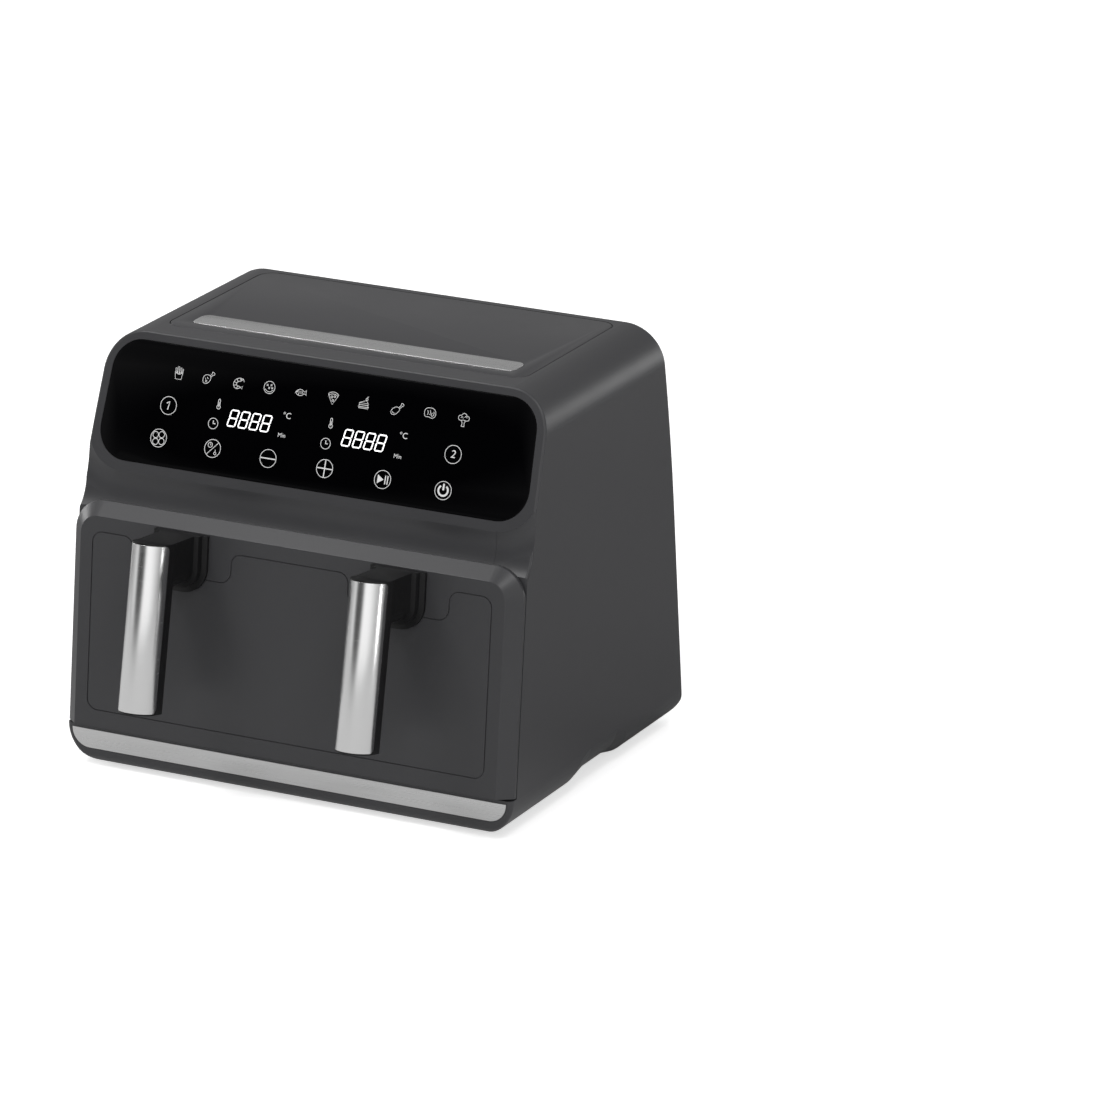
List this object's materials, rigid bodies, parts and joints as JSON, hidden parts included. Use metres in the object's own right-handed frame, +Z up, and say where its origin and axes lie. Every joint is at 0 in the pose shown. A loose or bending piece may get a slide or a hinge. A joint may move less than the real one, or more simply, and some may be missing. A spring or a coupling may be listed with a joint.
{
  "type": "air fryer",
  "caption": "Counter-top air fryer with a leaning black touch panel over one wide bevelled drawer, two steel-faced handles and a pot with a lift-out divider.",
  "frame": {"origin": "centre of the bounding box in plan, on the surface the feet stand on", "axes": "+X to the right as seen from the front, +Y to the back, +Z up; the drawer opens along -Y"},
  "size_m": [0.39, 0.3765, 0.3362],
  "materials": {
    "body_plastic": "satin charcoal moulding",
    "inner_plastic": "dull black moulding",
    "handle_plastic": "satin black moulding",
    "trim_steel": "brushed along its length",
    "panel_glass": "black, painted behind, polished",
    "rubber_feet": "matt black",
    "screw_steel": "plain",
    "circuit_board": "green lacquer",
    "display_plastic": "milky white",
    "board_posts": "turned",
    "cavity_steel": "aluminised sheet",
    "rail_plastic": "heat resistant, dull",
    "element_steel": "heat tinted",
    "fan_aluminium": "stamped sheet",
    "fan_plastic": "plain",
    "motor_metal": "zinc plated",
    "thermostat_ceramic": "plain",
    "nonstick_pot": "black non-stick coating",
    "nonstick_plate": "black non-stick coating",
    "silicone": "soft grey-black"
  },
  "bodies": {
    "housing": {"main_housing": "body_plastic", "base_tray": "body_plastic", "top_panel": "body_plastic", "rear_cover": "body_plastic", "display_carrier": "inner_plastic", "cord_gland": "inner_plastic", "drawer_switch": "inner_plastic", "top_trim_strip": "trim_steel", "base_trim_strip": "trim_steel", "control_glass": "panel_glass", "foot_front_left": "rubber_feet", "foot_front_right": "rubber_feet", "foot_rear_left": "rubber_feet", "foot_rear_right": "rubber_feet", "base_screws": "screw_steel", "rear_cover_screws": "screw_steel", "control_board": "circuit_board", "power_board": "circuit_board", "digit_modules": "display_plastic", "board_standoffs": "board_posts", "cavity_liner": "cavity_steel", "heater_dish_left": "cavity_steel", "heater_dish_right": "cavity_steel", "heater_guard_left": "cavity_steel", "heater_guard_right": "cavity_steel", "motor_bracket_left": "cavity_steel", "motor_bracket_right": "cavity_steel", "drawer_rail_left": "rail_plastic", "drawer_rail_right": "rail_plastic", "heating_element_left": "element_steel", "heating_element_right": "element_steel", "fan_motor_left": "motor_metal", "fan_motor_right": "motor_metal", "thermostat_left": "thermostat_ceramic", "thermostat_right": "thermostat_ceramic"},
    "drawer": {"drawer_front": "body_plastic", "drawer_carrier": "inner_plastic", "drawer_pot": "nonstick_pot", "handle_core_left": "handle_plastic", "handle_core_right": "handle_plastic", "handle_cover_left": "trim_steel", "handle_cover_right": "trim_steel", "handle_screws": "screw_steel", "divider_guide_front": "nonstick_pot", "divider_guide_rear": "nonstick_pot", "guide_rivets": "screw_steel"},
    "divider": {"divider": "nonstick_plate"},
    "crisper_left": {"crisper_plate_left": "nonstick_plate", "crisper_bumpers_left": "silicone"},
    "fan_rotor_left": {"motor_shaft_left": "element_steel", "hot_air_fan_left": "fan_aluminium", "cooling_fan_left": "fan_plastic"},
    "crisper_right": {"crisper_plate_right": "nonstick_plate", "crisper_bumpers_right": "silicone"},
    "fan_rotor_right": {"motor_shaft_right": "element_steel", "hot_air_fan_right": "fan_aluminium", "cooling_fan_right": "fan_plastic"},
    "plunger": {"switch_plunger": "display_plastic"}
  },
  "joints": [
    {"name": "drawer_slide", "type": "slide", "parent": "housing", "child": "drawer", "axis": [0, -1, 0], "range_m": [0, 0.26]},
    {"name": "divider_lift", "type": "slide", "parent": "drawer", "child": "divider", "axis": [0, 0, 1], "range_m": [0, 0.007]},
    {"name": "crisper_left_lift", "type": "slide", "parent": "drawer", "child": "crisper_left", "axis": [0, 0, 1], "range_m": [0, 0.1]},
    {"name": "crisper_right_lift", "type": "slide", "parent": "drawer", "child": "crisper_right", "axis": [0, 0, 1], "range_m": [0, 0.1]},
    {"name": "fan_left_spin", "type": "hinge", "parent": "housing", "child": "fan_rotor_left", "pos_m": [-0.088, 0.034, 0.26], "axis": [0, 0, 1], "continuous": true},
    {"name": "fan_right_spin", "type": "hinge", "parent": "housing", "child": "fan_rotor_right", "pos_m": [0.088, 0.034, 0.26], "axis": [0, 0, 1], "continuous": true},
    {"name": "switch_press", "type": "slide", "parent": "housing", "child": "plunger", "axis": [0, 1, 0], "range_m": [0, 0.0015], "stiffness_N_per_m": 300}
  ]
}
